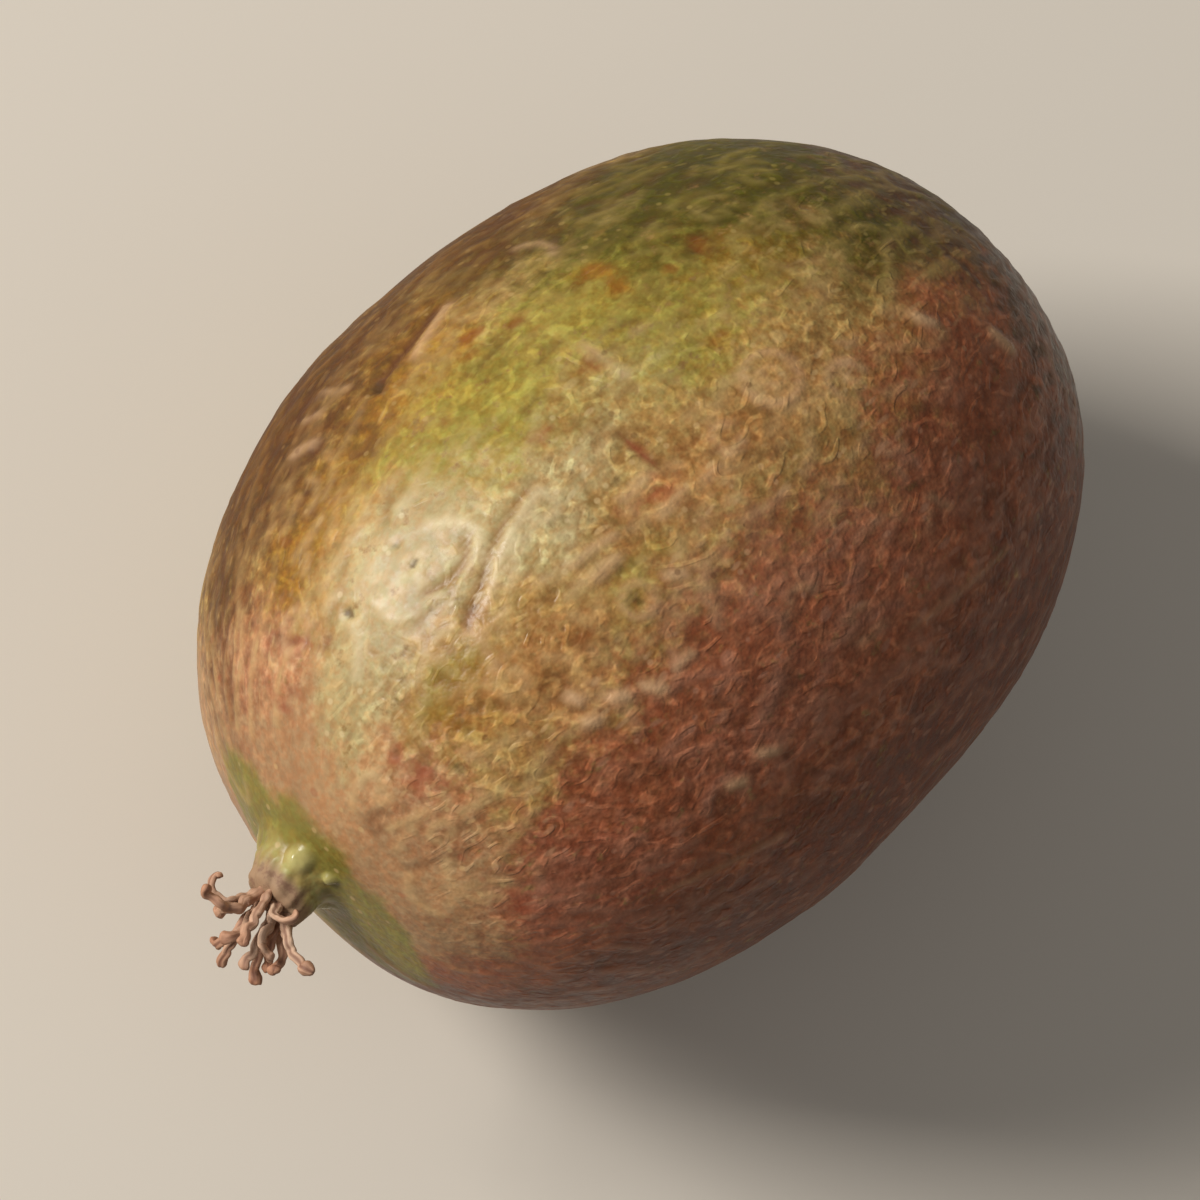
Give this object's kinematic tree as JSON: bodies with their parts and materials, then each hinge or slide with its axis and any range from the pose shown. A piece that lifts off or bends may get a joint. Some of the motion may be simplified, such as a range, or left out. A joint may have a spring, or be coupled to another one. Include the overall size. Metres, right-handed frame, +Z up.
{
  "type": "kiwi berry",
  "caption": "Smooth-skinned oval kiwi berry lying on its side, with a short green neck at the crown that carries a tuft of dry, curled styles, and a shallow stem scar at the other end.",
  "frame": {"origin": "on the resting surface, under the middle of the bounding box", "axes": "+X along the berry from the crown to the stem end, +Y sideways, +Z up; the berry lies on its flat resting spot"},
  "size_m": [0.0354, 0.024, 0.0224],
  "materials": {
    "berry_skin": "thin fruit skin with a soft waxy sheen, yellow-green to ochre with a red-brown blush, fine pale ridges and dark pores",
    "dry_style": "dry, matt, tan to pinkish brown plant fibre"
  },
  "bodies": {
    "root": {"berry": "berry_skin", "dry_style_01": "dry_style", "dry_style_02": "dry_style", "dry_style_03": "dry_style", "dry_style_04": "dry_style", "dry_style_05": "dry_style", "dry_style_06": "dry_style", "dry_style_07": "dry_style", "dry_style_08": "dry_style", "dry_style_09": "dry_style", "dry_style_10": "dry_style", "dry_style_11": "dry_style", "dry_style_12": "dry_style", "dry_style_13": "dry_style", "dry_style_14": "dry_style"}
  },
  "joints": []
}
